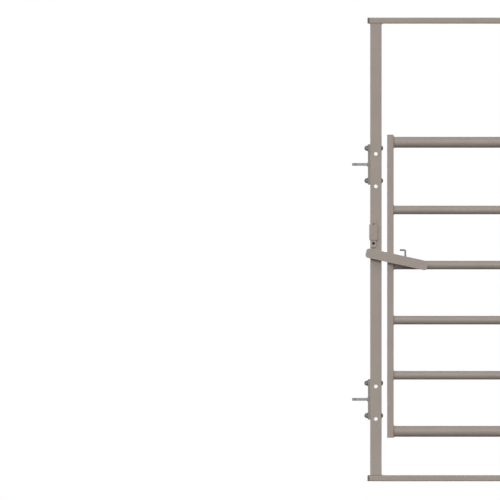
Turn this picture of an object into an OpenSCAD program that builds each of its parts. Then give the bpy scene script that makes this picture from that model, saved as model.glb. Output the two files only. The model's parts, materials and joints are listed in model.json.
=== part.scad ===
// Cattle race arch gate: a square-tube frame that a six-rail leaf swings in, with bolt-on link
// brackets, a lift-up latch lever, a sliding lock bar and a bent drop pin.
// Seen from the front, X runs to the right, Y away and Z up. The origin is the middle of the
// bottom bar's underside.

/* [Frame] */
// Clear width between the posts
clear_w = 760; // [600:5:1000]
// Overall height of the frame
frame_h = 2040; // [1900:5:2500]
// Side of the square posts
post_side = 50; // [45:1:65]
// Wall of the posts and bars
frame_wall = 3; // [2:0.5:5]
// Outer corner radius of the posts and bars
frame_corner_r = 4; // [2:0.5:6]
// Height of the top and bottom bars
bar_h = 26; // [22:1:40]
// How far the bars and their caps stand out past the posts
bar_overhang = 12; // [8:1:30]
// Thickness of the flange on each plastic bar cap
cap_t = 8.5; // [3:0.5:10]
// Length of the plug behind each cap flange
cap_plug_l = 22; // [10:1:40]
// Chamfer round the outer edge of each cap
cap_edge = 2; // [0.5:0.5:3]
// Gap between a cap's plug and the bar's inner wall
cap_gap = 0.25; // [0.1:0.05:0.5]

/* [Through holes] */
// Diameter of the holes through the posts from front to back
hole_d = 16; // [10:0.5:20]
// Distance between the two holes of a pair
hole_pitch = 143; // [100:1:180]
// Height of the middle of the lower pair
lower_pair_z = 345; // [250:1:450]
// Height of the middle of the upper pair
upper_pair_z = 1369; // [1250:1:1500]

/* [Link brackets] */
// Height of the lower brackets' lugs
lower_bracket_z = 360; // [280:1:450]
// Height of the upper brackets' lugs
upper_bracket_z = 1394; // [1250:1:1500]
// Thickness of the bracket plates
plate_t = 10; // [6:1:14]
// Height of the bracket plates
plate_h = 178; // [160:1:220]
// Depth of the bracket plates from front to back
plate_d = 40; // [30:1:45]
// Distance between a bracket's two bolts
bolt_pitch = 143; // [100:1:150]
// Diameter of the bolt holes through plates and posts
bolt_hole_d = 13; // [9:0.5:14]
// Reach of the lugs beyond their plates
lug_l = 70; // [50:1:100]
// Width of the lugs from front to back
lug_w = 46; // [36:1:50]
// Thickness of the lugs
lug_t = 12; // [6:1:14]
// Diameter of the drop-pin holes in the lugs
lug_hole_d = 20; // [14:0.5:24]

/* [Leaf] */
// Gap between the posts and the leaf's stiles
leaf_gap = 25; // [20:1:40]
// Height of the stiles' lower ends
leaf_bottom = 191; // [150:1:260]
// Height of the stiles' upper ends
leaf_top = 1525; // [1450:1:1700]
// Distance of the leaf's middle plane behind the posts' middle plane
leaf_set_back = 8; // [0:1:12]
// Width of the stiles seen from the front
stile_w = 28; // [24:1:40]
// Depth of the stiles from front to back
stile_d = 50; // [49:1:60]
// Wall of the stiles
stile_wall = 3; // [2:0.5:4]
// Outer corner radius of the stiles
stile_corner_r = 3; // [1.5:0.5:5]
// Thickness of the plates that close the stiles
stile_cap_t = 3; // [2:0.5:5]
// Outer diameter of the top and bottom rails
outer_rail_d = 48.3; // [42.4:0.1:48.9]
// Outer diameter of the four rails between them
inner_rail_d = 38.1; // [33.7:0.1:42.4]
// Wall of the rails
rail_wall = 3.2; // [2:0.1:4]
// Height of the bottom rail's axis above the stiles' lower ends
bottom_rail_rise = 28; // [26:0.5:40]
// Distance of the top rail's axis below the stiles' upper ends
top_rail_drop = 33.5; // [26:0.5:40]
// Distance from the bottom rail to the rail above it
first_rail_pitch = 247; // [200:0.5:260]
// Distance between the four inner rails
inner_rail_pitch = 242.5; // [200:0.5:250]

/* [Hinges] */
// Diameter of the hinge pins
hinge_pin_d = 20; // [16:1:24]
// Distance of the hinge axis in front of the posts' faces
hinge_reach = 15; // [14:0.5:20]
// Outer diameter of the leaf's hinge eyes
eye_d = 32; // [30:1:36]
// Height of the leaf's hinge eyes
eye_h = 50; // [40:1:60]
// Thickness of the straps that carry the eyes
strap_t = 10; // [9:0.5:14]
// Corner radius at the free ends of the straps
strap_corner_r = 6; // [2:1:10]
// Thickness of the fork plates on the hinge post
fork_t = 8; // [6:0.5:12]
// Rounding radius of the fork plates about the pin
fork_r = 18; // [17:0.5:19]
// Running gap between an eye and its pin, on the radius
eye_gap = 0.3; // [0.1:0.05:0.5]
// Gap between a pin and its fork plates, on the radius
fork_gap = 0.15; // [0.05:0.05:0.3]
// Gap above and below an eye in its fork
fork_end_gap = 1; // [0.5:0.5:2]
// Diameter of the head on each hinge pin
hinge_head_d = 32; // [28:1:36]
// Height of the head on each hinge pin
hinge_head_h = 9; // [7:0.5:12]
// Radius of the ball that domes the head
hinge_dome_r = 34; // [28:1:60]
// Length of each hinge pin below its fork
hinge_tail_l = 18; // [14:1:25]
// Diameter of the split-pin holes in the hinge pins and the lever's shaft
split_hole_d = 4; // [3:0.5:5]
// Distance of the split-pin holes from the ends of the pins and the shaft
split_hole_inset = 8; // [6:0.5:8]
// Chamfer on the ends of the pins and the shaft
pin_chamfer = 2; // [1:0.5:3]

/* [Latch lever] */
// Distance from the latch post's inner face to the lever's pivot
pivot_inset = 182; // [150:1:260]
// Overall length of the lever bar
lever_l = 278; // [260:1:292]
// Distance from the lever's pivot to its lower end
lever_end = 21; // [18:1:24]
// Corner radius of the lever bar
lever_corner_r = 13; // [4:1:18]
// Depth of the lever bar
lever_d = 42; // [36:1:48]
// Thickness of the lever bar
lever_t = 6; // [5:0.5:8]
// Slope of the resting lever, rising towards the post
lever_slope = 12.3; // [8:0.1:14]
// Gap between the latch post's face and the back of the lever bar
lever_standoff = 26; // [24:0.5:34]
// Diameter of the lever's shaft
shaft_d = 16; // [12:0.5:18]
// Running gap round the shaft, on the radius
shaft_gap = 0.3; // [0.1:0.05:0.5]
// Length of the shaft behind its rail
shaft_tail_l = 14; // [10:1:20]
// Outer diameter of the boss that the shaft runs in
boss_d = 30; // [26:1:32]
// Gap between the boss and the back of the lever bar
boss_gap = 1; // [0.5:0.5:2]
// Diameter of the peg that the lever rests on
peg_d = 14; // [10:1:16]
// Gap between the end of the peg and the back of the lever bar
peg_end_gap = 4; // [3:0.5:5]
// Gap between the peg and the lever's tab at rest
rest_gap = 0.3; // [0.1:0.1:0.5]
// Distance along the lever from its pivot to the peg
peg_along = 212; // [200:1:220]
// Length of the tab behind the lever
tab_l = 36; // [24:1:40]
// Thickness of the tab
tab_t = 6; // [4:0.5:8]
// Depth of the tab behind the lever bar
tab_d = 8; // [6:0.5:8]
// Distance of the tab's underside below the lever's centre line
tab_drop = 4; // [2:0.5:6]

/* [Drop pin] */
// Diameter of the bent drop pin
drop_pin_d = 8; // [5:0.5:9]
// Distance from the latch post's inner face to the drop pin
drop_pin_inset = 104; // [90:1:120]
// Height of the pin's handle above the lever's top edge
drop_pin_rise = 28; // [20:1:36]
// Length of the pin's handle
drop_pin_handle_l = 24; // [18:1:40]
// Radius of the pin's bend, to the middle of the rod
drop_pin_bend_r = 6; // [4:0.5:8]
// Running gap round the pin in its socket, on the radius
drop_pin_gap = 0.25; // [0.1:0.05:0.4]
// Outer diameter of the socket behind the lever
socket_d = 16; // [14:0.5:18]
// Height of the socket
socket_h = 32; // [26:1:34]
// Thickness of the socket's floor
socket_floor_t = 4; // [3:0.5:6]

/* [Lock bar] */
// Distance of the lock bar's middle inside the latch post's outer face
lock_inset = 14; // [12:0.5:16]
// Width of the lock bar
lock_w = 24; // [20:1:26]
// Thickness of the lock bar
lock_t = 6; // [5:0.5:7]
// Overall length of the lock bar
lock_l = 128; // [112:1:140]
// Corner radius of the lock bar
lock_corner_r = 6; // [2:1:10]
// Height of the lock bar's lower end above the lever's pivot
lock_rise = 77; // [74:1:100]
// Diameter of the hole near the lock bar's lower end
lock_hole_d = 12; // [8:0.5:13]
// Height of that hole above the lock bar's lower end
lock_hole_rise = 18; // [14:0.5:22]
// Sliding gap round the lock bar
lock_gap = 0.5; // [0.2:0.1:0.8]
// Height of the lock bar's guide
guide_h = 68; // [60:1:80]
// Height of the guide's lower edge above the lock bar's lower end
guide_rise = 33; // [30:1:40]
// Thickness of the guide's sides
guide_side_t = 6; // [5:0.5:7]
// Thickness of the guide's front
guide_front_t = 4; // [3:0.5:5]
// Outer bend radius of the guide
guide_bend_r = 3; // [1:0.5:3]
// How far the guide's outer side runs back along the post
guide_wrap = 16; // [10:1:24]
// Diameter of the stop stud on the lock bar
stud_d = 13; // [10:0.5:14]
// Height of the stop stud's dome
stud_h = 5.5; // [4:0.5:5.5]

/* [Hidden] */
$fn = 64;
cut = 1;

// Colours as the photograph shows them
paint = "#9d9389";
grey_steel = "#9b9a98";
black_plastic = "#3a3432";

// Frame
post_x = clear_w / 2 + post_side / 2;
post_face_y = -post_side / 2;
post_h = frame_h - 2 * bar_h;
bar_end_x = clear_w / 2 + post_side + bar_overhang;
bar_tube_l = 2 * (bar_end_x - cap_t);
plate_x = clear_w / 2 + post_side;
lug_x = plate_x + plate_t;
lug_r = lug_w / 2;

// Leaf
leaf_half_w = clear_w / 2 - leaf_gap;
rail_half_l = leaf_half_w - stile_w;
stile_x = leaf_half_w - stile_w / 2;
stile_face_y = leaf_set_back - stile_d / 2;
bottom_rail_z = leaf_bottom + bottom_rail_rise;
first_inner_z = bottom_rail_z + first_rail_pitch;
top_rail_z = leaf_top - top_rail_drop;
latch_rail_z = first_inner_z + 2 * inner_rail_pitch;

// Hinges
hinge_x = clear_w / 2 - leaf_gap / 2;
hinge_y = post_face_y - hinge_reach;
fork_span = eye_h + 2 * fork_end_gap;

// Latch lever
pivot_x = -clear_w / 2 + pivot_inset;
pivot_z = latch_rail_z;
lever_back_y = post_face_y - lever_standoff;
lever_r = lever_d / 2;
boss_front_y = lever_back_y + boss_gap;
shaft_end_y = leaf_set_back + inner_rail_d / 2 + shaft_tail_l;
peg_l = lever_standoff - peg_end_gap;
// Peg centre: below the tab's underside, in the lever's own slope
peg_drop = tab_drop + rest_gap + peg_d / 2;
peg_x = pivot_x - peg_along * cos(lever_slope) - peg_drop * sin(lever_slope);
peg_z = pivot_z + peg_along * sin(lever_slope) - peg_drop * cos(lever_slope);

// Drop pin
drop_pin_x = -clear_w / 2 + drop_pin_inset;
drop_pin_y = lever_back_y + socket_d / 2;
// Levels on the drop pin are whole millimetres
lever_z_at_pin = round(pivot_z + (pivot_x - drop_pin_x) * tan(lever_slope));
socket_z = lever_z_at_pin - socket_h / 2;
drop_pin_foot_z = socket_z + socket_floor_t + rest_gap;
drop_pin_handle_z = lever_z_at_pin + round(lever_r / cos(lever_slope) + drop_pin_rise);

// Lock bar
lock_x = -clear_w / 2 - post_side + lock_inset;
lock_z = pivot_z + lock_rise;
lock_back_y = post_face_y - lock_gap;
lock_hole_z = lock_z + lock_hole_rise;
guide_z = lock_z + guide_rise;
guide_inner_w = lock_w + 2 * lock_gap;
guide_w = guide_inner_w + 2 * guide_side_t;
guide_inner_d = lock_t + 2 * lock_gap;
guide_d = guide_inner_d + guide_front_t;
stud_z = guide_z + guide_h + rest_gap + stud_d / 2;
// Ball that the stud's dome is a slice of
stud_ball_r = (pow(stud_d / 2, 2) + pow(stud_h, 2)) / (2 * stud_h);

// Rectangle with round corners, centred
module rounded_rect(w, d, r) {
    square([w - 2 * r, d], center = true);
    square([w, d - 2 * r], center = true);
    for (sx = [-1, 1], sy = [-1, 1]) {
        translate([sx * (w / 2 - r), sy * (d / 2 - r)]) circle(r);
    }
}

// Section of a rectangular tube, centred
module tube_section(w, d, wall, r) {
    difference() {
        rounded_rect(w, d, r);
        rounded_rect(w - 2 * wall, d - 2 * wall, max(r - wall, wall / 4));
    }
}

// Cylinder along +Y from its first point
module rod_y(r, l) {
    rotate([-90, 0, 0]) cylinder(r = r, h = l);
}

// Cylinder along X, centred
module rod_x(r, l) {
    rotate([0, 90, 0]) cylinder(r = r, h = l, center = true);
}

// Post with its through holes and bracket bolt holes, standing at x
module post_tube(x) {
    translate([x, 0, bar_h]) linear_extrude(post_h) {
        tube_section(post_side, post_side, frame_wall, frame_corner_r);
    }
}

module post_holes(x) {
    for (pair_z = [lower_pair_z, upper_pair_z], s = [-1, 1]) {
        translate([x, -post_side / 2 - cut, pair_z + s * hole_pitch / 2]) {
            rod_y(hole_d / 2, post_side + 2 * cut);
        }
    }
    for (bracket_z = [lower_bracket_z, upper_bracket_z], s = [-1, 1]) {
        translate([x, 0, bracket_z + s * bolt_pitch / 2]) {
            rod_x(bolt_hole_d / 2, post_side + 2 * cut);
        }
    }
}

module left_post() {
    color(paint) difference() {
        post_tube(-post_x);
        post_holes(-post_x);
        translate([lock_x, post_face_y - cut, lock_hole_z]) {
            rod_y(lock_hole_d / 2, frame_wall + 2 * cut);
        }
    }
}

module right_post() {
    color(paint) difference() {
        post_tube(post_x);
        post_holes(post_x);
    }
}

// Flat bar tube along X, with its underside at z
module bar_tube(z) {
    translate([-bar_tube_l / 2, 0, z + bar_h / 2]) rotate([90, 0, 90]) {
        linear_extrude(bar_tube_l) tube_section(post_side, bar_h, frame_wall, frame_corner_r);
    }
}

module top_bar() {
    color(paint) bar_tube(frame_h - bar_h);
}

module bottom_bar() {
    color(paint) bar_tube(0);
}

// Plastic cap at a bar's end: side is -1 on the left and 1 on the right
module bar_cap(side, z) {
    plug_d = post_side - 2 * (frame_wall + cap_gap);
    plug_h = bar_h - 2 * (frame_wall + cap_gap);
    face_d = post_side - 2 * cap_edge;
    face_h = bar_h - 2 * cap_edge;
    color(black_plastic) translate([0, 0, z + bar_h / 2]) rotate([0, 0, side < 0 ? 180 : 0]) {
        translate([bar_end_x - cap_t, 0, 0]) rotate([90, 0, 90]) hull() {
            linear_extrude(cap_t - cap_edge) rounded_rect(post_side, bar_h, frame_corner_r, $fn = 32);
            linear_extrude(cap_t) rounded_rect(face_d, face_h, frame_corner_r, $fn = 32);
        }
        translate([bar_end_x - cap_t - cap_plug_l, 0, 0]) rotate([90, 0, 90]) {
            linear_extrude(cap_plug_l) rounded_rect(plug_d, plug_h, frame_wall / 2);
        }
    }
}

module top_left_cap() { bar_cap(-1, frame_h - bar_h); }
module top_right_cap() { bar_cap(1, frame_h - bar_h); }
module bottom_left_cap() { bar_cap(-1, 0); }
module bottom_right_cap() { bar_cap(1, 0); }

// Bracket plate bolted to a post's outer face
module bracket_plate(side, z) {
    color(paint) difference() {
        translate([side * (plate_x + plate_t / 2), 0, z]) rotate([0, 90, 0]) {
            linear_extrude(plate_t, center = true) rounded_rect(plate_h, plate_d, frame_corner_r);
        }
        for (s = [-1, 1]) {
            translate([side * plate_x, 0, z + s * bolt_pitch / 2]) {
                rod_x(bolt_hole_d / 2, 2 * (plate_t + cut));
            }
        }
    }
}

module upper_left_plate() { bracket_plate(-1, upper_bracket_z); }
module lower_left_plate() { bracket_plate(-1, lower_bracket_z); }
module upper_right_plate() { bracket_plate(1, upper_bracket_z); }
module lower_right_plate() { bracket_plate(1, lower_bracket_z); }

// Level link lug with a round end and a drop-pin hole
module link_lug(side, z) {
    eye_x = lug_l - lug_r;
    color(grey_steel) translate([side * lug_x, 0, z - lug_t / 2]) {
        rotate([0, 0, side < 0 ? 180 : 0]) difference() {
            linear_extrude(lug_t) {
                translate([0, -lug_r]) square([eye_x, lug_w]);
                translate([eye_x, 0]) circle(lug_r);
            }
            translate([eye_x, 0, -cut]) cylinder(d = lug_hole_d, h = lug_t + 2 * cut);
        }
    }
}

module upper_left_lug() { link_lug(-1, upper_bracket_z); }
module lower_left_lug() { link_lug(-1, lower_bracket_z); }
module upper_right_lug() { link_lug(1, upper_bracket_z); }
module lower_right_lug() { link_lug(1, lower_bracket_z); }

// Outline of a fork plate about the hinge axis, running back to the post's face
module fork_outline() {
    weld_x = clear_w / 2 + post_side - frame_corner_r - hinge_x;
    circle(fork_r);
    polygon([
        [0, -fork_r], [fork_r, -fork_r], [weld_x, hinge_reach - fork_t],
        [weld_x, hinge_reach], [0, hinge_reach]
    ]);
}

// Two fork plates that hold a hinge pin above and below the leaf's eye
module hinge_fork(z) {
    color(paint) translate([hinge_x, hinge_y, z]) {
        for (plate_z = [-fork_span / 2 - fork_t, fork_span / 2]) {
            translate([0, 0, plate_z]) difference() {
                linear_extrude(fork_t) fork_outline();
                translate([0, 0, -cut]) {
                    cylinder(r = hinge_pin_d / 2 + fork_gap, h = fork_t + 2 * cut);
                }
            }
        }
    }
}

module upper_hinge_fork() { hinge_fork(upper_bracket_z); }
module lower_hinge_fork() { hinge_fork(lower_bracket_z); }

// Round pin standing on its chamfered end, with a split-pin hole across it
module split_pin_rod(d, l) {
    difference() {
        union() {
            cylinder(d1 = d - 2 * pin_chamfer, d2 = d, h = pin_chamfer);
            translate([0, 0, pin_chamfer]) cylinder(d = d, h = l - pin_chamfer);
        }
        translate([0, 0, split_hole_inset]) rod_x(split_hole_d / 2, d + 2 * cut);
    }
}

// Pin with a domed head that drops through a fork and the eye inside it
module hinge_pin(z) {
    seat_z = fork_span / 2 + fork_t;
    color(grey_steel) translate([hinge_x, hinge_y, z]) {
        translate([0, 0, -seat_z - hinge_tail_l]) {
            split_pin_rod(hinge_pin_d, 2 * seat_z + hinge_tail_l);
        }
        translate([0, 0, seat_z]) intersection() {
            cylinder(d = hinge_head_d, h = hinge_head_h);
            translate([0, 0, hinge_head_h - hinge_dome_r]) sphere(hinge_dome_r);
        }
    }
}

module upper_hinge_pin() { hinge_pin(upper_bracket_z); }
module lower_hinge_pin() { hinge_pin(lower_bracket_z); }

module latch_peg() {
    color(paint) translate([peg_x, post_face_y - peg_l, peg_z]) rod_y(peg_d / 2, peg_l);
}

// Outline of the guide's strap before its channel, from its front back to the post's face
module guide_outline() {
    bend_x = guide_w / 2 - guide_bend_r;
    translate([-guide_w / 2, guide_bend_r - guide_d]) square([guide_w, guide_d - guide_bend_r]);
    translate([-bend_x, -guide_d]) square([2 * bend_x, guide_d]);
    for (s = [-1, 1]) {
        translate([s * bend_x, guide_bend_r - guide_d]) circle(guide_bend_r);
    }
}

// Strap bent round the lock bar, its outer side running back along the post
module lock_guide() {
    wrap_t = guide_w / 2 - lock_inset;
    color(paint) translate([lock_x, post_face_y, guide_z]) linear_extrude(guide_h) {
        difference() {
            guide_outline();
            translate([-guide_inner_w / 2, -guide_inner_d]) square([guide_inner_w, guide_inner_d + cut]);
        }
        translate([-guide_w / 2, -guide_inner_d]) square([wrap_t, guide_inner_d + guide_wrap]);
    }
}

// Stile of the leaf, between its two end plates
module stile_tube(x) {
    translate([x, leaf_set_back, leaf_bottom + stile_cap_t]) {
        linear_extrude(leaf_top - leaf_bottom - 2 * stile_cap_t) {
            tube_section(stile_w, stile_d, stile_wall, stile_corner_r);
        }
    }
}

// Plates that close a stile's two ends
module stile_caps(x) {
    for (z = [leaf_bottom, leaf_top - stile_cap_t]) {
        translate([x, leaf_set_back, z]) linear_extrude(stile_cap_t) {
            rounded_rect(stile_w, stile_d, stile_corner_r);
        }
    }
}

module latch_stile() { color(paint) stile_tube(-stile_x); }
module hinge_stile() { color(paint) stile_tube(stile_x); }
module latch_stile_caps() { color(paint) stile_caps(-stile_x); }
module hinge_stile_caps() { color(paint) stile_caps(stile_x); }

// Round rail between the stiles
module rail(d, z) {
    translate([0, leaf_set_back, z]) difference() {
        rod_x(d / 2, 2 * rail_half_l);
        rod_x(d / 2 - rail_wall, 2 * (rail_half_l + cut));
    }
}

// Rails are numbered from the top
module rail_1() { color(paint) rail(outer_rail_d, top_rail_z); }
module rail_2() { color(paint) rail(inner_rail_d, first_inner_z + 3 * inner_rail_pitch); }
module rail_3() {
    color(paint) difference() {
        rail(inner_rail_d, latch_rail_z);
        translate([pivot_x, leaf_set_back - inner_rail_d, latch_rail_z]) {
            rod_y(shaft_d / 2 + shaft_gap, 2 * inner_rail_d);
        }
    }
}
module rail_4() { color(paint) rail(inner_rail_d, first_inner_z + inner_rail_pitch); }
module rail_5() { color(paint) rail(inner_rail_d, first_inner_z); }
module rail_6() { color(paint) rail(outer_rail_d, bottom_rail_z); }

// Strap along -X from the hinge axis, standing eye_h tall, with round corners at its free end
module eye_strap() {
    strap_l = hinge_x - stile_x + stile_w / 2 - stile_corner_r;
    r = strap_corner_r;
    rotate([90, 0, 0]) linear_extrude(strap_t) {
        translate([r - strap_l, 0]) square([strap_l - r, eye_h]);
        translate([-strap_l, r]) square([strap_l, eye_h - 2 * r]);
        for (z = [r, eye_h - r]) {
            translate([r - strap_l, z]) circle(r);
        }
    }
}

// Eye on a strap that lies on the hinge stile's face, joined to it by a neck where it stands clear
module hinge_eye(z) {
    seat_y = stile_face_y - hinge_y;
    neck_w = eye_d / 4;
    color(paint) translate([hinge_x, hinge_y, z - eye_h / 2]) difference() {
        union() {
            cylinder(d = eye_d, h = eye_h);
            translate([0, seat_y, 0]) eye_strap();
            translate([-neck_w, 0, 0]) cube([neck_w, seat_y - strap_t, eye_h]);
        }
        translate([0, 0, -cut]) cylinder(r = hinge_pin_d / 2 + eye_gap, h = eye_h + 2 * cut);
    }
}

module upper_hinge_eye() { hinge_eye(upper_bracket_z); }
module lower_hinge_eye() { hinge_eye(lower_bracket_z); }

// Boss saddled on the front of the latch rail, with the lever's shaft running through it
module pivot_boss() {
    color(paint) translate([pivot_x, 0, pivot_z]) difference() {
        translate([0, boss_front_y, 0]) rod_y(boss_d / 2, leaf_set_back - boss_front_y);
        translate([0, leaf_set_back, 0]) rod_x(inner_rail_d / 2, 2 * boss_d);
        translate([0, boss_front_y - cut, 0]) {
            rod_y(shaft_d / 2 + shaft_gap, leaf_set_back - boss_front_y + 2 * cut);
        }
    }
}

// Places its children on the resting lever, with the lever's length along -X from the pivot
module on_lever() {
    translate([pivot_x, lever_back_y, pivot_z]) rotate([0, lever_slope, 0]) children();
}

module latch_lever() {
    color(paint) on_lever() rotate([90, 0, 0]) linear_extrude(lever_t) {
        translate([lever_end - lever_l / 2, 0]) rounded_rect(lever_l, lever_d, lever_corner_r);
    }
}

module lever_shaft() {
    shaft_l = shaft_end_y - lever_back_y;
    color(grey_steel) on_lever() translate([0, shaft_l, 0]) rotate([90, 0, 0]) {
        split_pin_rod(shaft_d, shaft_l);
    }
}

// Ledge behind the lever that sits on the peg
module lever_tab() {
    color(paint) on_lever() {
        translate([-peg_along - tab_l / 2, 0, -tab_drop]) cube([tab_l, tab_d, tab_t]);
    }
}

// Blind upright socket behind the lever for the drop pin
module pin_socket() {
    color(paint) difference() {
        translate([drop_pin_x, drop_pin_y, socket_z]) linear_extrude(socket_h) {
            circle(d = socket_d);
            translate([-socket_d / 2, -socket_d / 2]) square([socket_d, socket_d / 2]);
        }
        translate([drop_pin_x, drop_pin_y, socket_z + socket_floor_t]) {
            cylinder(r = drop_pin_d / 2 + drop_pin_gap, h = socket_h);
        }
    }
}

// Flat bar with round corners and a hole near its lower end
module lock_bar() {
    color(paint) translate([lock_x, lock_back_y, lock_z]) rotate([90, 0, 0]) {
        linear_extrude(lock_t) difference() {
            translate([0, lock_l / 2]) rounded_rect(lock_w, lock_l, lock_corner_r);
            translate([0, lock_hole_rise]) circle(d = lock_hole_d);
        }
    }
}

// Domed stop that sits on the guide's upper edge
module lock_stud() {
    face_y = lock_back_y - lock_t;
    color(paint) translate([lock_x, face_y, stud_z]) intersection() {
        translate([0, stud_ball_r - stud_h, 0]) sphere(stud_ball_r);
        translate([0, -stud_h, 0]) rod_y(stud_d / 2 + cut, stud_h);
    }
}

// Bent rod that drops into the socket, its handle pointing to the post
module drop_pin() {
    r = drop_pin_d / 2;
    bend_z = drop_pin_handle_z - drop_pin_bend_r;
    color(grey_steel) translate([drop_pin_x, drop_pin_y, 0]) {
        translate([0, 0, drop_pin_foot_z]) cylinder(r = r, h = bend_z - drop_pin_foot_z);
        translate([-drop_pin_bend_r, 0, bend_z]) rotate([90, 0, 0]) {
            rotate_extrude(angle = 90) translate([drop_pin_bend_r, 0]) circle(r);
        }
        translate([-drop_pin_handle_l, 0, drop_pin_handle_z]) rotate([0, 90, 0]) {
            cylinder(r = r, h = drop_pin_handle_l - drop_pin_bend_r);
        }
    }
}

left_post();
right_post();
top_bar();
bottom_bar();
top_left_cap();
top_right_cap();
bottom_left_cap();
bottom_right_cap();
upper_left_plate();
lower_left_plate();
upper_right_plate();
lower_right_plate();
upper_left_lug();
lower_left_lug();
upper_right_lug();
lower_right_lug();
upper_hinge_fork();
lower_hinge_fork();
upper_hinge_pin();
lower_hinge_pin();
latch_peg();
lock_guide();
latch_stile();
hinge_stile();
latch_stile_caps();
hinge_stile_caps();
rail_1();
rail_2();
rail_3();
rail_4();
rail_5();
rail_6();
upper_hinge_eye();
lower_hinge_eye();
pivot_boss();
latch_lever();
lever_shaft();
lever_tab();
pin_socket();
lock_bar();
lock_stud();
drop_pin();
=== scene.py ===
"""Looks of a cattle race arch gate: its finishes, bolts, split pins, welds, light and camera."""

import json
import math

import bpy
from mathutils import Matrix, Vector


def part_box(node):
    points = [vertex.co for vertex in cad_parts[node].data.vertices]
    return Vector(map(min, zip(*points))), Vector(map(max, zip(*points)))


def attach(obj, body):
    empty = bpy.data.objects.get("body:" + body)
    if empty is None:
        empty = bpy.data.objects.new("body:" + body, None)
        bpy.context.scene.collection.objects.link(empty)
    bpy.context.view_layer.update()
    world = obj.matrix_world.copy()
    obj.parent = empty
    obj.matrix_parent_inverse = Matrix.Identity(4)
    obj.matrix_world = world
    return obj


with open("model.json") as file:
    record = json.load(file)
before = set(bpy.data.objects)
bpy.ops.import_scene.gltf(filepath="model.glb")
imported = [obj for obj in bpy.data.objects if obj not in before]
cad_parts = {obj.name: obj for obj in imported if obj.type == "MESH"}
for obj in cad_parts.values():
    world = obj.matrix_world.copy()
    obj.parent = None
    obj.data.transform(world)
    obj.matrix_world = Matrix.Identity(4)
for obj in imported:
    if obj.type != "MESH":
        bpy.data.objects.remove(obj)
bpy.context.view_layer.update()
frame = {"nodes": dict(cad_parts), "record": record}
MM = 0.001

# Colours of the finishes, linear
PAINT_COLOUR = (0.338, 0.292, 0.256)
# Painted shade: the bracket plates are painted darker for the shade along them by the post
PLATE_SHADE_COLOUR = (0.256, 0.226, 0.200)
# Painted shade: the rail welds are painted darker for the shade in the crease where each rail meets its
# stile
CREASE_SHADE_COLOUR = (0.245, 0.212, 0.186)
ZINC_COLOUR = (0.158, 0.157, 0.154)
FASTENER_COLOUR = (0.092, 0.091, 0.090)
PLASTIC_COLOUR = (0.097, 0.080, 0.072)

# Grain of the finishes: noise in waves a metre, and how deep it stands
NOISE_LOW = 0.3
NOISE_HIGH = 0.7
CLOUD_SCALE = 7.0
SHEEN_SCALE = 90.0
SKIN_SCALE = 620.0
SKIN_DEPTH = 0.25 * MM
PAINT_ROUGH = (0.42, 0.52)
PAINT_SPECULAR = 0.17
PAINT_PEEL = 0.10
PLATE_PEEL = 0.14
WELD_PEEL = 0.22
CRYSTAL_SCALE = 240.0
MARK_SCALE = 160.0
MARK_SPREAD = 0.08
ZINC_ROUGH = 0.50
FASTENER_ROUGH = 0.42
ZINC_METALLIC = 0.5
SCRATCH_SCALE = 900.0
SCRATCH_DEPTH = 0.2 * MM
PLASTIC_CLOUD_SCALE = 30.0
GRAIN_SCALE = 1400.0
GRAIN_DEPTH = 0.15 * MM
PLASTIC_ROUGH = (0.50, 0.62)
PLASTIC_SPECULAR = 0.4

# Edges: how far a corner is eased, and where its paint is made paler in patches, as wear and as a painted
# highlight
EDGE_R = 1.6 * MM
EDGE_SAMPLES = 6
PATCH_SCALE = 55.0
PATCH_SHARE = 0.35
WEAR_AND_HIGHLIGHT_FROM = 0.985
WEAR_AND_HIGHLIGHT_TO = 0.85
EDGE_GAIN = 1.28

# Bracket bolts: M12 cup heads, washers and nuts with a plastic collar
BOLT_PITCH = 143 * MM
BOLT_R = 6 * MM
HEAD_R = 12 * MM
HEAD_H = 6.8 * MM
WASHER_R = 13.2 * MM
WASHER_T = 2.5 * MM
NUT_FLAT_R = 9.5 * MM
NUT_HEX_H = 8 * MM
NUT_COLLAR_R = 8.4 * MM
NUT_H = 11 * MM
BOLT_END = 2 * MM
THREAD_PITCH = 1.75 * MM
THREAD_DEPTH = 0.9 * MM
THREAD_STEPS = 8
THREAD_START = 4 * MM
HEAD_STEPS = 10
WASHER_PLAY = 0.3 * MM
WASHER_EASE = 0.3 * MM
NUT_CHAMFER = 0.9 * MM
NUT_SEAT_SHARE = 0.955
NUT_TOP_SHARE = 0.93

# How many sides round things have
ROUND_SIDES = 40
RING_SIDES = 48
SHANK_SIDES = 32
WIRE_SIDES = 10

# Angles past which an edge shows sharp
SHARP = 32.0
WIRE_SHARP = 60.0
WELD_SHARP = 50.0

# Hinge pins and the lever's shaft
HINGE_PIN_R = 10 * MM
SHAFT_R = 8 * MM
SPLIT_INSET = 8 * MM
SPLIT_WIRE_R = 0.95 * MM
SPLIT_EYE_R = 3.4 * MM
SPLIT_LEG_L = 9 * MM
SPLIT_PLAY = 0.6 * MM
SHAFT_WASHER_R = 15 * MM
SHAFT_WASHER_T = 3 * MM
SHAFT_WASHER_GAP = 0.4 * MM
SHAFT_WASHER_PLAY = 0.4 * MM

# Plates and bars whose edges are welded
LEVER_SLOPE = math.radians(12.3)
TUBE_CORNER = 4 * MM
TAB_L = 36 * MM
TAB_ALONG = 212 * MM
TAB_TOP = 2 * MM

# Weld beads
BEAD_LEG = 4 * MM
RAIL_LEG = 0.8 * BEAD_LEG
LIGHT_LEG = 0.7 * BEAD_LEG
LEVER_LEG = 0.6 * BEAD_LEG
SMALL_LEG = 2.2 * MM
END_CLEAR = 2 * MM
STITCH_SHARE = 0.32
STITCH_INSET = 3 * MM
STRAP_CORNER = 7 * MM
BEAD_STEP = 1.0 * MM
BEAD_SINK = 0.6 * MM
BEAD_FLATTEN = 0.16
RIPPLE_PITCH = 3.2 * MM
RIPPLE = 0.09
BEAD_SIDES = 6
BEAD_TAPER = 3

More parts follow.
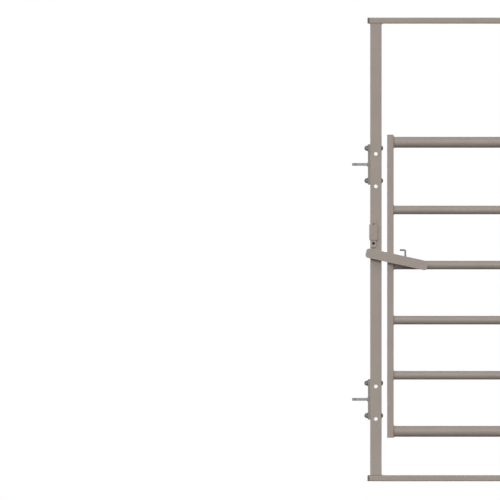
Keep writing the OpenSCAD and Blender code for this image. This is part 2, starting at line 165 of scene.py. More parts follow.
# Camera: level, square to the frame and far enough away to show no depth
LENS = 1000.0
SENSOR = 36.0
VIEW_W = 2.200
VIEW_X = -0.9591
VIEW_Z = 1.0173
FACE_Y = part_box("left_post")[0].y

# Light: suns by azimuth, elevation and angle in degrees
KEY_ELEVATION = 44.0
KEY_AZIMUTH = -16.0
FILL_ELEVATION = 12.0
BACK_AZIMUTH = 140.0
BACK_ELEVATION = 22.0
SIDE_ELEVATION = 5.0
KEY_STRENGTH = 1.55
FILL_STRENGTH = 1.60
BACK_STRENGTH = 1.05
SIDE_STRENGTH = 1.00
KEY_ANGLE = 70.0
FILL_ANGLE = 24.0
BACK_ANGLE = 30.0
SIDE_ANGLE = 10.0
AMBIENT = 0.02

# Floor: its grey for light that bounces, and its pale face that the camera sees
FLOOR_R = 1.7
FLOOR_DROP = 0.5 * MM
FLOOR_RINGS = 24
FLOOR_SIDES = 96
FLOOR_BOUNCE = (0.05, 0.05, 0.05, 1)
FLOOR_FACE = (0.85, 0.85, 0.85, 1)
FLOOR_LIFT = 0.42
FADE_FROM = 0.8
FADE_TO = 1.45


def shader_nodes(material):
    """Nodes, links and the principled shader of a new material."""
    material.use_nodes = True
    tree = material.node_tree
    return tree.nodes, tree.links, tree.nodes["Principled BSDF"]


def noise(nodes, links, scale, detail):
    """Noise in the object's own space, in metres."""
    coords = nodes.new("ShaderNodeTexCoord")
    texture = nodes.new("ShaderNodeTexNoise")
    texture.inputs["Scale"].default_value = scale
    texture.inputs["Detail"].default_value = detail
    links.new(coords.outputs["Object"], texture.inputs["Vector"])
    return texture


def tint(nodes, links, factor, colour, low, high):
    """Colour that runs from low to high times the given one as a noise runs over its usual span."""
    ramp = nodes.new("ShaderNodeValToRGB")
    ends = ((NOISE_LOW, low), (NOISE_HIGH, high))
    for element, (place, gain) in zip(ramp.color_ramp.elements, ends):
        element.position = place
        element.color = tuple(c * gain for c in colour) + (1.0,)
    links.new(factor, ramp.inputs["Fac"])
    return ramp.outputs["Color"]


def spread(nodes, links, factor, low, high):
    """Number that runs from low to high as a noise runs over its usual span."""
    mapped = nodes.new("ShaderNodeMapRange")
    mapped.inputs["From Min"].default_value = NOISE_LOW
    mapped.inputs["From Max"].default_value = NOISE_HIGH
    mapped.inputs["To Min"].default_value = low
    mapped.inputs["To Max"].default_value = high
    links.new(factor, mapped.inputs["Value"])
    return mapped.outputs["Result"]


def eased_edge(nodes):
    """Normal that turns gently over an edge."""
    bevel = nodes.new("ShaderNodeBevel")
    bevel.samples = EDGE_SAMPLES
    bevel.inputs["Radius"].default_value = EDGE_R
    return bevel.outputs["Normal"]


def edge_wear_and_highlight(nodes, links, eased):
    """0 on a flat face, rising on an edge in patches: wear, and a painted highlight along the edge."""
    plain = nodes.new("ShaderNodeNewGeometry")
    facing = nodes.new("ShaderNodeVectorMath")
    facing.operation = "DOT_PRODUCT"
    links.new(eased, facing.inputs[0])
    links.new(plain.outputs["Normal"], facing.inputs[1])
    edge = nodes.new("ShaderNodeMapRange")
    edge.inputs["From Min"].default_value = WEAR_AND_HIGHLIGHT_FROM
    edge.inputs["From Max"].default_value = WEAR_AND_HIGHLIGHT_TO
    links.new(facing.outputs["Value"], edge.inputs["Value"])
    patches = noise(nodes, links, PATCH_SCALE, 4.0)
    share = spread(nodes, links, patches.outputs["Fac"], PATCH_SHARE, 1.0)
    worn_and_lit = nodes.new("ShaderNodeMath")
    worn_and_lit.operation = "MULTIPLY"
    links.new(edge.outputs["Result"], worn_and_lit.inputs[0])
    links.new(share, worn_and_lit.inputs[1])
    return worn_and_lit.outputs[0]


def blend_colours(nodes, links, factor, low, high):
    """Colour that runs from a linked one to a fixed one."""
    mix = nodes.new("ShaderNodeMix")
    mix.data_type = "RGBA"
    links.new(factor, mix.inputs["Factor"])
    links.new(low, mix.inputs["A"])
    mix.inputs["B"].default_value = tuple(high) + (1.0,)
    return mix.outputs["Result"]


def bump(nodes, links, shader, height, strength, distance, normal):
    """Fine relief on top of a given normal."""
    node = nodes.new("ShaderNodeBump")
    node.inputs["Strength"].default_value = strength
    node.inputs["Distance"].default_value = distance
    links.new(height, node.inputs["Height"])
    links.new(normal, node.inputs["Normal"])
    links.new(node.outputs["Normal"], shader.inputs["Normal"])


def paint_material(name, colour, peel):
    """Satin paint: faint clouds in the colour, an uneven sheen and the skin of a sprayed coat."""
    material = bpy.data.materials.new(name)
    nodes, links, shader = shader_nodes(material)
    clouds = noise(nodes, links, CLOUD_SCALE, 4.0)
    mottle = tint(nodes, links, clouds.outputs["Fac"], colour, 0.965, 1.035)
    eased = eased_edge(nodes)
    # Edges are made paler: partly wear, partly a painted highlight along them
    pale = [c * EDGE_GAIN for c in colour]
    coat = blend_colours(nodes, links, edge_wear_and_highlight(nodes, links, eased), mottle, pale)
    links.new(coat, shader.inputs["Base Color"])
    sheen = noise(nodes, links, SHEEN_SCALE, 3.0)
    links.new(spread(nodes, links, sheen.outputs["Fac"], *PAINT_ROUGH), shader.inputs["Roughness"])
    skin = noise(nodes, links, SKIN_SCALE, 2.0)
    bump(nodes, links, shader, skin.outputs["Fac"], peel, SKIN_DEPTH, eased)
    shader.inputs["Specular IOR Level"].default_value = PAINT_SPECULAR
    return material


def zinc_material(name, colour, roughness):
    """Dull zinc: small crystals in the colour and the sheen, with fine handling marks."""
    material = bpy.data.materials.new(name)
    nodes, links, shader = shader_nodes(material)
    coords = nodes.new("ShaderNodeTexCoord")
    crystals = nodes.new("ShaderNodeTexVoronoi")
    crystals.inputs["Scale"].default_value = CRYSTAL_SCALE
    links.new(coords.outputs["Object"], crystals.inputs["Vector"])
    grey = nodes.new("ShaderNodeRGBToBW")
    links.new(crystals.outputs["Color"], grey.inputs["Color"])
    spangle = tint(nodes, links, grey.outputs["Val"], colour, 0.90, 1.10)
    links.new(spangle, shader.inputs["Base Color"])
    marks = noise(nodes, links, MARK_SCALE, 5.0)
    dullness = spread(nodes, links, marks.outputs["Fac"], roughness - MARK_SPREAD, roughness + MARK_SPREAD)
    links.new(dullness, shader.inputs["Roughness"])
    fine = noise(nodes, links, SCRATCH_SCALE, 2.0)
    bump(nodes, links, shader, fine.outputs["Fac"], 0.12, SCRATCH_DEPTH, eased_edge(nodes))
    shader.inputs["Metallic"].default_value = ZINC_METALLIC
    return material


def plastic_material(name):
    """Moulded plastic with a fine spark-eroded grain."""
    material = bpy.data.materials.new(name)
    nodes, links, shader = shader_nodes(material)
    clouds = noise(nodes, links, PLASTIC_CLOUD_SCALE, 3.0)
    mottle = tint(nodes, links, clouds.outputs["Fac"], PLASTIC_COLOUR, 0.92, 1.08)
    links.new(mottle, shader.inputs["Base Color"])
    grain = noise(nodes, links, GRAIN_SCALE, 2.0)
    links.new(spread(nodes, links, grain.outputs["Fac"], *PLASTIC_ROUGH), shader.inputs["Roughness"])
    bump(nodes, links, shader, grain.outputs["Fac"], 0.2, GRAIN_DEPTH, eased_edge(nodes))
    shader.inputs["Specular IOR Level"].default_value = PLASTIC_SPECULAR
    return material


paint = paint_material("paint", PAINT_COLOUR, PAINT_PEEL)
weld_paint = paint_material("weld_paint", PAINT_COLOUR, WELD_PEEL)
# Darker copy of the paint: painted shade in the rail welds' creases
crease_shade_paint = paint_material("crease_shade_paint", CREASE_SHADE_COLOUR, WELD_PEEL)
# Darker copy of the paint: painted shade on the bracket plates
plate_shade_paint = paint_material("plate_shade_paint", PLATE_SHADE_COLOUR, PLATE_PEEL)
zinc = zinc_material("zinc", ZINC_COLOUR, ZINC_ROUGH)
fastener_zinc = zinc_material("fastener_zinc", FASTENER_COLOUR, FASTENER_ROUGH)
plastic = plastic_material("plastic")

# Every node takes the finish of its slot; the bracket plates are painted darker, as painted shade along
# them
FINISH = {"paint": paint, "grey_steel": zinc, "black_plastic": plastic}
slot_of = {row["node"]: row["material_slot"] for row in frame["record"]["subparts"]}
for node_name, node in frame["nodes"].items():
    node.data.materials.clear()
    is_plate = node_name.endswith("_plate")
    node.data.materials.append(plate_shade_paint if is_plate else FINISH[slot_of[node_name]])


def signed_volume(points, faces):
    """Volume within closed faces, negative where they are inside out."""
    origin = points[faces[0][0]]
    total = 0.0
    for face in faces:
        corners = [points[i] - origin for i in face]
        for b, c in zip(corners[1:], corners[2:]):
            total += corners[0].dot(b.cross(c))
    return total / 6


class Shape:
    """Points and faces that are gathered into one mesh piece."""

    def __init__(self):
        self.points = []
        self.faces = []

    def rings(self, rings, closed=False):
        """Outward skin over rings of equally many points, with flat ends unless closed."""
        start = len(self.points)
        sides = len(rings[0])
        faces = []
        for ring in rings:
            self.points.extend(ring)
        spans = len(rings) if closed else len(rings) - 1
        for i in range(spans):
            a = start + i * sides
            b = start + (i + 1) % len(rings) * sides
            for j in range(sides):
                k = (j + 1) % sides
                faces.append((a + j, a + k, b + k, b + j))
        if not closed:
            last = start + (len(rings) - 1) * sides
            faces.append(tuple(range(start + sides - 1, start - 1, -1)))
            faces.append(tuple(range(last, last + sides)))
        if signed_volume(self.points, faces) < 0:
            faces = [face[::-1] for face in faces]
        self.faces.extend(faces)

    def piece(self, name, body, material, sharp=SHARP):
        """The gathered mesh as a piece that rides on a body."""
        mesh = bpy.data.meshes.new(name)
        mesh.from_pydata([tuple(p) for p in self.points], [], self.faces)
        mesh.validate()
        mesh.polygons.foreach_set("use_smooth", [True] * len(mesh.polygons))
        mesh.set_sharp_from_angle(angle=math.radians(sharp))
        mesh.materials.append(material)
        made = bpy.data.objects.new(name, mesh)
        bpy.context.scene.collection.objects.link(made)
        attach(made, body)
        return made


def turned(shape, origin, axis, profile, sides=ROUND_SIDES):
    """Solid of revolution: profile is a list of (distance along the axis, radius or radius by angle)."""
    axis = Vector(axis).normalized()
    turn = axis.to_track_quat("Z", "Y")
    rings = []
    for along, radius in profile:
        ring = []
        for j in range(sides):
            angle = math.tau * j / sides
            r = radius(angle) if callable(radius) else radius
            ring.append(Vector(origin) + turn @ Vector((r * math.cos(angle), r * math.sin(angle), along)))
        rings.append(ring)
    shape.rings(rings)


def hexagon(flat_r, limit):
    """Radius by angle of a hexagon with its corners turned off at a limit."""

    def radius(angle):
        from_flat = (angle + math.pi / 6) % (math.pi / 3) - math.pi / 6
        return min(flat_r / math.cos(from_flat), limit)

    return radius


def thread_radius(along):
    """Radius by angle of a screw thread at a distance along it."""

    def radius(angle):
        phase = (along / THREAD_PITCH - angle / math.tau) % 1.0
        return BOLT_R - THREAD_DEPTH * abs(2 * phase - 1)

    return radius


def cup_head(shape, origin, axis):
    """Low domed head on a short rim."""
    ball_r = (HEAD_R**2 + HEAD_H**2) / (2 * HEAD_H)
    edge = math.asin(HEAD_R / ball_r)
    profile = [(0.0, HEAD_R)]
    for i in range(1, HEAD_STEPS):
        angle = edge * (1 - i / HEAD_STEPS)
        profile.append((ball_r * math.cos(angle) - (ball_r - HEAD_H), ball_r * math.sin(angle)))
    profile.append((HEAD_H, 0.2 * MM))
    turned(shape, origin, axis, profile)


def washer(shape, origin, axis, outer_r, thickness, inner_r):
    """Flat ring with eased edges."""
    section = [
        (0.0, inner_r),
        (0.0, outer_r - WASHER_EASE),
        (WASHER_EASE, outer_r),
        (thickness - WASHER_EASE, outer_r),
        (thickness, outer_r - WASHER_EASE),
        (thickness, inner_r),
    ]
    axis = Vector(axis).normalized()
    turn = axis.to_track_quat("Z", "Y")
    rings = []
    for j in range(RING_SIDES):
        angle = math.tau * j / RING_SIDES
        ring = [Vector((r * math.cos(angle), r * math.sin(angle), z)) for z, r in section]
        rings.append([Vector(origin) + turn @ p for p in ring])
    shape.rings(rings, closed=True)


def collar_nut(shape, origin, axis):
    """Hexagon nut with turned corners and a round collar that grips the thread."""
    corner = NUT_FLAT_R / math.cos(math.pi / 6)
    hexes = [
        (0.0, NUT_SEAT_SHARE),
        (NUT_CHAMFER, 1.0),
        (NUT_HEX_H - NUT_CHAMFER, 1.0),
        (NUT_HEX_H, NUT_TOP_SHARE),
    ]
    profile = [(along, hexagon(NUT_FLAT_R, corner * share)) for along, share in hexes]
    profile += [
        (NUT_HEX_H, NUT_COLLAR_R),
        (NUT_H - 1.4 * MM, NUT_COLLAR_R),
        (NUT_H - 0.4 * MM, NUT_COLLAR_R - 0.8 * MM),
        (NUT_H, NUT_COLLAR_R - 1.8 * MM),
        (NUT_H - 0.8 * MM, BOLT_R + 0.2 * MM),
    ]
    turned(shape, origin, axis, profile, RING_SIDES)


def bolt_shank(shape, origin, axis, plain_l, length):
    """Plain shank that ends in a screw thread with a turned point."""
    profile = [(0.0, BOLT_R), (plain_l, BOLT_R)]
    steps = int((length - plain_l) / (THREAD_PITCH / THREAD_STEPS))
    for i in range(1, steps):
        along = plain_l + (length - plain_l) * i / steps
        profile.append((along, thread_radius(along)))
    profile += [(length - 0.3 * MM, BOLT_R - THREAD_DEPTH), (length, BOLT_R - 1.8 * MM)]
    turned(shape, origin, axis, profile, SHANK_SIDES)


def bracket_bolts(level, side):
    """Two bolts of a bracket: heads on the post's inner face, washers and nuts on the plate."""
    plate_lo, plate_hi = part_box(f"{level}_{side}_plate")
    post_lo, post_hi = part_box(f"{side}_post")
    outward = 1.0 if side == "right" else -1.0
    inner_x = post_lo.x if side == "right" else post_hi.x
    outer_x = plate_hi.x if side == "right" else plate_lo.x
    middle = (plate_lo + plate_hi) / 2
    bolts = Shape()
    nuts = Shape()
    reach = abs(outer_x - inner_x) + WASHER_T
    for s in (-1, 1):
        z = middle.z + s * BOLT_PITCH / 2
        head = Vector((inner_x, middle.y, z))
        seat = Vector((outer_x, middle.y, z))
        out = Vector((outward, 0, 0))
        cup_head(bolts, head, -out)
        bolt_shank(bolts, head, out, reach - THREAD_START, reach + NUT_H + BOLT_END)
        washer(nuts, seat, out, WASHER_R, WASHER_T, BOLT_R + WASHER_PLAY)
        collar_nut(nuts, seat + out * WASHER_T, out)
    bolts.piece(f"{level}_{side}_bolts", "frame", fastener_zinc)
    nuts.piece(f"{level}_{side}_nuts", "frame", fastener_zinc)


for side_name in ("left", "right"):
    for level_name in ("upper", "lower"):
        bracket_bolts(level_name, side_name)


def wire(shape, points, radius):
    """Round wire through points, its section carried along without twist."""
    points = [Vector(p) for p in points]
    tangents = []
    for i in range(len(points)):
        before = points[max(i - 1, 0)]
        after = points[min(i + 1, len(points) - 1)]
        tangents.append((after - before).normalized())
    across = tangents[0].orthogonal().normalized()
    rings = []
    for point, tangent in zip(points, tangents):
        across = (across - tangent * across.dot(tangent)).normalized()
        other = tangent.cross(across)
        ring = []
        for j in range(WIRE_SIDES):
            angle = math.tau * j / WIRE_SIDES
            ring.append(point + (across * math.cos(angle) + other * math.sin(angle)) * radius)
        rings.append(ring)
    shape.rings(rings)


def split_pin(shape, middle, through, bend, rod_r):
    """Doubled wire through a rod: a round eye on one side, two legs bent apart on the other."""
    half_gap = SPLIT_WIRE_R * 1.05
    near = rod_r + SPLIT_PLAY
    eye = near + SPLIT_EYE_R
    flat = []
    legs = 8
    for i in range(legs + 1):
        share = 1 - i / legs
        flat.append((-near - SPLIT_LEG_L * share * 0.75, half_gap + SPLIT_LEG_L * share**2))
    for i in range(1, 6):
        flat.append((-near + 2 * near * i / 6, half_gap))
    open_angle = math.asin(half_gap / SPLIT_EYE_R)
    turns = 18
    for i in range(turns + 1):
        angle = math.pi - open_angle - (math.tau - 2 * open_angle) * i / turns
        flat.append((eye + SPLIT_EYE_R * math.cos(angle), SPLIT_EYE_R * math.sin(angle)))
    back = [(a, -b) for a, b in reversed(flat[: legs + 6])]
    middle = Vector(middle)
    route = [middle + Vector(through) * a + Vector(bend) * b for a, b in flat + back]
    wire(shape, route, SPLIT_WIRE_R)


def hinge_split_pins():
    """A split pin through the tail of each hinge pin."""
    for level in ("upper", "lower"):
        lo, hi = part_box(f"{level}_hinge_pin")
        middle = (lo + hi) / 2
        pin = Shape()
        split_pin(pin, (middle.x, middle.y, lo.z + SPLIT_INSET), (1, 0, 0), (0, 1, 0), HINGE_PIN_R)
        pin.piece(f"{level}_split_pin", "frame", fastener_zinc, WIRE_SHARP)


# Where the lever pivots, and its own directions along and up
lever_along = Vector((-math.cos(LEVER_SLOPE), 0, math.sin(LEVER_SLOPE)))
lever_up = Vector((math.sin(LEVER_SLOPE), 0, math.cos(LEVER_SLOPE)))
shaft_lo, shaft_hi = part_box("lever_shaft")
pivot = (shaft_lo + shaft_hi) / 2


def shaft_end():
    """Washer and split pin that keep the lever's shaft in its rail."""
    back_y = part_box("rail_3")[1].y
    ring = Shape()
    washer(
        ring, (pivot.x, back_y + SHAFT_WASHER_GAP, pivot.z), (0, 1, 0),
        SHAFT_WASHER_R, SHAFT_WASHER_T, SHAFT_R + SHAFT_WASHER_PLAY,
    )
    ring.piece("shaft_washer", "lever", fastener_zinc)
    pin = Shape()
    split_pin(pin, (pivot.x, shaft_hi.y - SPLIT_INSET, pivot.z), lever_along, lever_up, SHAFT_R)
    pin.piece("shaft_split_pin", "lever", fastener_zinc, WIRE_SHARP)


hinge_split_pins()
shaft_end()


def bead(shape, frames, leg, closed=False):
    """Rippled fillet weld along frames: the corner's point and the two directions that the legs lie in."""
    rings = []
    travelled = 0.0
    for i, (point, u, v) in enumerate(frames):
        if i:
            travelled += (point - frames[i - 1][0]).length
        wave = math.sin(math.tau * travelled / RIPPLE_PITCH)
        drift = math.sin(math.tau * travelled / (5.3 * RIPPLE_PITCH))
        size = leg * (1 + RIPPLE * wave + 0.5 * RIPPLE * drift)
        if not closed:
            from_end = min(i, len(frames) - 1 - i)
            size *= min(1.0, 0.35 + 0.65 * from_end / BEAD_TAPER)
        ring = [point - (u + v) * BEAD_SINK, point + u * size - v * BEAD_SINK]
        for j in range(BEAD_SIDES + 1):
            angle = math.pi / 2 * j / BEAD_SIDES
            r = size * (1 - BEAD_FLATTEN * math.sin(2 * angle))
            ring.append(point + u * (r * math.cos(angle)) + v * (r * math.sin(angle)))
        ring.append(point + v * size - u * BEAD_SINK)
        rings.append(ring)
    shape.rings(rings, closed)


def straight_bead(shape, start, end, u, v, leg=BEAD_LEG):
    """Weld along a straight corner."""
    start = Vector(start)
    end = Vector(end)
    steps = max(8, round((end - start).length / BEAD_STEP))
    u = Vector(u)
    v = Vector(v)
    bead(shape, [(start.lerp(end, i / steps), u, v) for i in range(steps + 1)], leg)


def ring_bead(shape, centre, axis, across, radius, leg):
    """Weld round a tube or rod, where it meets a flat face and runs off along its axis."""
    axis = Vector(axis)
    across = Vector(across)
    other = axis.cross(across)
    steps = round(math.tau * radius / BEAD_STEP)
    frames = []
    for i in range(steps):
        angle = math.tau * i / steps
        out = across * math.cos(angle) + other * math.sin(angle)
        frames.append((Vector(centre) + out * radius, out, axis))
    bead(shape, frames, leg, closed=True)


def rail_welds():
    """A ring of weld at both ends of every rail, painted darker as painted shade in the crease where the
    rail meets the stile.
    """
    for number in range(1, 7):
        lo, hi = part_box(f"rail_{number}")
        middle = (lo + hi) / 2
        radius = (hi.z - lo.z) / 2
        welds = Shape()
        for x, inward in ((lo.x, 1), (hi.x, -1)):
            ring_bead(welds, (x, middle.y, middle.z), (inward, 0, 0), (0, 0, 1), radius, RAIL_LEG)
        welds.piece(f"rail_{number}_welds", "leaf", crease_shade_paint, WELD_SHARP)


def frame_welds():
    """Fillets where the posts' sides stand on the bars."""
    welds = Shape()
    cap_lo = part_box("top_left_cap")[0]
    cap_room = abs(cap_lo.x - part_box("left_post")[0].x)
    for side in ("left", "right"):
        lo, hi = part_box(f"{side}_post")
        for z, up in ((lo.z, 1), (hi.z, -1)):
            for x, out in ((lo.x, -1), (hi.x, 1)):
                on_outside = (out < 0) == (side == "left")
                leg = min(SMALL_LEG, cap_room) if on_outside else BEAD_LEG
                run = hi.y - TUBE_CORNER - 1 * MM
                straight_bead(welds, (x, -run, z), (x, run, z), (out, 0, 0), (0, 0, up), leg)
    welds.piece("post_welds", "frame", weld_paint, WELD_SHARP)


def lug_welds():
    """Fillets above and below every lug on its plate."""
    welds = Shape()
    for side in ("left", "right"):
        for level in ("upper", "lower"):
            plate_lo, plate_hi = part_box(f"{level}_{side}_plate")
            lug_lo, lug_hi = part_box(f"{level}_{side}_lug")
            x, out = (plate_hi.x, 1) if side == "right" else (plate_lo.x, -1)
            run = plate_hi.y - END_CLEAR
            for z, up in ((lug_lo.z, -1), (lug_hi.z, 1)):
                straight_bead(welds, (x, -run, z), (x, run, z), (0, 0, up), (out, 0, 0))
    welds.piece("lug_welds", "frame", weld_paint, WELD_SHARP)


def guide_welds():
    """Stitches of weld down the lock guide's inner side and the back edge of its outer side."""
    lo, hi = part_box("lock_guide")
    post_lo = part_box("left_post")[0]
    stitch = (hi.z - lo.z) * STITCH_SHARE
    welds = Shape()
    for start in (lo.z + STITCH_INSET, hi.z - STITCH_INSET - stitch):
        rise = Vector((0, 0, stitch))
        inner = Vector((hi.x, post_lo.y, start))
        outer = Vector((post_lo.x, hi.y, start))
        straight_bead(welds, inner, inner + rise, (1, 0, 0), (0, -1, 0), LIGHT_LEG)
        straight_bead(welds, outer, outer + rise, (0, 1, 0), (-1, 0, 0), LIGHT_LEG)
    peg_lo, peg_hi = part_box("latch_peg")
    peg = (peg_lo + peg_hi) / 2
    peg_r = (peg_hi.x - peg_lo.x) / 2
    ring_bead(welds, (peg.x, peg_hi.y, peg.z), (0, -1, 0), (1, 0, 0), peg_r, LIGHT_LEG)
    welds.piece("latch_post_welds", "frame", weld_paint, WELD_SHARP)


def fork_welds():
    """Fillets along the outer faces of the fork plates on the hinge post."""
    post_lo, post_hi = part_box("right_post")
    welds = Shape()
    for level in ("upper", "lower"):
        lo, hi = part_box(f"{level}_hinge_fork")
        start = post_lo.x + TUBE_CORNER
        end = hi.x - 1 * MM
        for z, up in ((lo.z, -1), (hi.z, 1)):
            straight_bead(welds, (start, post_lo.y, z), (end, post_lo.y, z), (0, 0, up), (0, -1, 0))
    welds.piece("fork_welds", "frame", weld_paint, WELD_SHARP)


def strap_welds():
    """Fillets round the hinge straps on the hinge stile's face."""
    stile_lo, stile_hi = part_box("hinge_stile")
    welds = Shape()
    for level in ("upper", "lower"):
        lo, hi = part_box(f"{level}_hinge_eye")
        face_y = stile_lo.y
        start = lo.x + STRAP_CORNER
        end = stile_hi.x - TUBE_CORNER
        for z, up in ((lo.z, -1), (hi.z, 1)):
            straight_bead(welds, (start, face_y, z), (end, face_y, z), (0, 0, up), (0, -1, 0), LIGHT_LEG)
        foot = Vector((lo.x, face_y, lo.z + STRAP_CORNER))
        head = Vector((lo.x, face_y, hi.z - STRAP_CORNER))
        straight_bead(welds, foot, head, (-1, 0, 0), (0, -1, 0), 0.5 * LIGHT_LEG)
    welds.piece("strap_welds", "leaf", weld_paint, WELD_SHARP)


def boss_weld():
    """Saddle-shaped weld where the pivot boss meets its rail."""
    boss_lo, boss_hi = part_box("pivot_boss")
    rail_lo, rail_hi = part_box("rail_3")
    boss_r = (boss_hi.x - boss_lo.x) / 2
    rail_r = (rail_hi.z - rail_lo.z) / 2
    axis = (rail_lo + rail_hi) / 2
    steps = round(math.tau * boss_r / BEAD_STEP)
    frames = []
    for i in range(steps):
        angle = math.tau * i / steps
        x = boss_r * math.cos(angle)
        z = boss_r * math.sin(angle)
        depth = math.sqrt(rail_r**2 - z**2)
        normal = Vector((0, -depth, z)) / rail_r
        out = Vector((math.cos(angle), 0, math.sin(angle)))
        along_rail = (out - normal * out.dot(normal)).normalized()
        point = Vector((pivot.x + x, axis.y - depth, axis.z + z))
        frames.append((point, along_rail, Vector((0, -1, 0))))
    welds = Shape()
    bead(welds, frames, LIGHT_LEG, closed=True)
    welds.piece("boss_weld", "leaf", weld_paint, WELD_SHARP)


def lever_welds():
    """Fillets that hold the tab and the drop pin's socket behind the lever."""
    back_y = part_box("latch_lever")[1].y
    welds = Shape()
    top = Vector((pivot.x, back_y, pivot.z)) + lever_up * TAB_TOP
    half = TAB_L / 2 - END_CLEAR
    start = top + lever_along * (TAB_ALONG - half)
    end = top + lever_along * (TAB_ALONG + half)
    straight_bead(welds, start, end, lever_up, (0, 1, 0), LEVER_LEG)
    lo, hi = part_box("pin_socket")
    for x, out in ((lo.x, -1), (hi.x, 1)):
        foot = Vector((x, back_y, lo.z + END_CLEAR))
        head = Vector((x, back_y, hi.z - END_CLEAR))
        straight_bead(welds, foot, head, (out, 0, 0), (0, 1, 0), LEVER_LEG)
    welds.piece("lever_welds", "lever", weld_paint, WELD_SHARP)


rail_welds()
frame_welds()
lug_welds()
guide_welds()
fork_welds()
strap_welds()
boss_weld()
lever_welds()


def white_where_seen(nodes, links):
    """1 where a camera, a mirror or glass looks straight at the surface, 0 for light that bounces."""
    path = nodes.new("ShaderNodeLightPath")
    seen = path.outputs["Is Camera Ray"]
    for ray in ("Is Glossy Ray", "Is Transmission Ray"):
        either = nodes.new("ShaderNodeMath")
        either.operation = "MAXIMUM"
        links.new(seen, either.inputs[0])
        links.new(path.outputs[ray], either.inputs[1])
        seen = either.outputs[0]
    return seen


def floor_mesh():
    """Round disc of rings of faces."""
    points = []
    for i in range(1, FLOOR_RINGS + 1):
        r = FLOOR_R * i / FLOOR_RINGS
        for j in range(FLOOR_SIDES):
            angle = math.tau * j / FLOOR_SIDES
            points.append((r * math.cos(angle), r * math.sin(angle), -FLOOR_DROP))
    faces = []
    for i in range(FLOOR_RINGS - 1):
        a = i * FLOOR_SIDES
        b = a + FLOOR_SIDES
        for j in range(FLOOR_SIDES):
            k = (j + 1) % FLOOR_SIDES
            faces.append((a + j, b + j, b + k, a + k))
    faces.append(tuple(range(FLOOR_SIDES)))
    mesh = bpy.data.meshes.new("floor")
    mesh.from_pydata(points, [], faces)
    return mesh


def studio_floor():
    """Round pale floor that keeps a soft shadow near the gate and fades to white at its rim."""
    mesh = floor_mesh()
    floor = bpy.data.objects.new("floor", mesh)
    bpy.context.scene.collection.objects.link(floor)
    material = bpy.data.materials.new("floor")
    nodes, links, shader = shader_nodes(material)
    nodes.remove(shader)
    seen = white_where_seen(nodes, links)
    coords = nodes.new("ShaderNodeTexCoord")
    distance = nodes.new("ShaderNodeVectorMath")
    distance.operation = "LENGTH"
    links.new(coords.outputs["Object"], distance.inputs[0])
    fade = nodes.new("ShaderNodeMapRange")
    fade.interpolation_type = "SMOOTHSTEP"
    fade.inputs["From Min"].default_value = FADE_FROM
    fade.inputs["From Max"].default_value = FADE_TO
    links.new(distance.outputs["Value"], fade.inputs["Value"])
    grey = nodes.new("ShaderNodeBsdfDiffuse")
    grey.inputs["Color"].default_value = FLOOR_BOUNCE
    pale = nodes.new("ShaderNodeBsdfDiffuse")
    pale.inputs["Color"].default_value = FLOOR_FACE
    lift = nodes.new("ShaderNodeEmission")
    lift.inputs["Strength"].default_value = FLOOR_LIFT
    lit = nodes.new("ShaderNodeAddShader")
    links.new(pale.outputs[0], lit.inputs[0])
    links.new(lift.outputs[0], lit.inputs[1])
    white = nodes.new("ShaderNodeEmission")
    faded = nodes.new("ShaderNodeMixShader")
    links.new(fade.outputs["Result"], faded.inputs[0])
    links.new(lit.outputs[0], faded.inputs[1])
    links.new(white.outputs[0], faded.inputs[2])
    whole = nodes.new("ShaderNodeMixShader")
    links.new(seen, whole.inputs[0])
    links.new(grey.outputs[0], whole.inputs[1])
    links.new(faded.outputs[0], whole.inputs[2])
    links.new(whole.outputs[0], nodes["Material Output"].inputs["Surface"])
    mesh.materials.append(material)


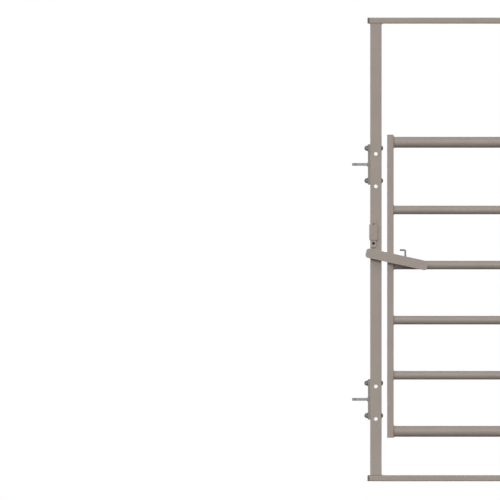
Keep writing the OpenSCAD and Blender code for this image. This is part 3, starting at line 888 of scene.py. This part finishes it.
def studio_world():
    """White to the camera, a low even light to the object."""
    world = bpy.data.worlds.new("studio")
    bpy.context.scene.world = world
    world.use_nodes = True
    nodes = world.node_tree.nodes
    links = world.node_tree.links
    ambient = nodes["Background"]
    ambient.inputs["Color"].default_value = (1, 1, 1, 1)
    ambient.inputs["Strength"].default_value = AMBIENT
    white = nodes.new("ShaderNodeBackground")
    white.inputs["Color"].default_value = (1, 1, 1, 1)
    mix = nodes.new("ShaderNodeMixShader")
    links.new(white_where_seen(nodes, links), mix.inputs[0])
    links.new(ambient.outputs[0], mix.inputs[1])
    links.new(white.outputs[0], mix.inputs[2])
    links.new(mix.outputs[0], nodes["World Output"].inputs["Surface"])


def sun(name, azimuth, elevation, strength, angle):
    """Distant lamp: azimuth 0 shines along +Y, from the front."""
    data = bpy.data.lights.new(name, "SUN")
    data.energy = strength
    data.angle = math.radians(angle)
    lamp = bpy.data.objects.new(name, data)
    a = math.radians(azimuth)
    e = math.radians(elevation)
    towards = Vector((-math.sin(a) * math.cos(e), math.cos(a) * math.cos(e), -math.sin(e)))
    lamp.rotation_euler = towards.to_track_quat("-Z", "Y").to_euler()
    bpy.context.scene.collection.objects.link(lamp)


def camera():
    """Long lens that frames the picture's width at the posts' front."""
    data = bpy.data.cameras.new("camera")
    data.lens = LENS
    data.sensor_width = SENSOR
    distance = VIEW_W * LENS / SENSOR
    data.clip_end = 2 * distance
    made = bpy.data.objects.new("camera", data)
    made.location = (VIEW_X, FACE_Y - distance, VIEW_Z)
    made.rotation_euler = (math.pi / 2, 0, 0)
    bpy.context.scene.collection.objects.link(made)
    bpy.context.scene.camera = made


studio_floor()
studio_world()
sun("key", KEY_AZIMUTH, KEY_ELEVATION, KEY_STRENGTH, KEY_ANGLE)
sun("fill", 0.0, FILL_ELEVATION, FILL_STRENGTH, FILL_ANGLE)
sun("back_left", -BACK_AZIMUTH, BACK_ELEVATION, BACK_STRENGTH, BACK_ANGLE)
sun("back_right", BACK_AZIMUTH, BACK_ELEVATION, BACK_STRENGTH, BACK_ANGLE)
sun("left", -90.0, SIDE_ELEVATION, SIDE_STRENGTH, SIDE_ANGLE)
sun("right", 90.0, SIDE_ELEVATION, SIDE_STRENGTH, SIDE_ANGLE)
camera()
bpy.context.scene.view_settings.view_transform = "Standard"
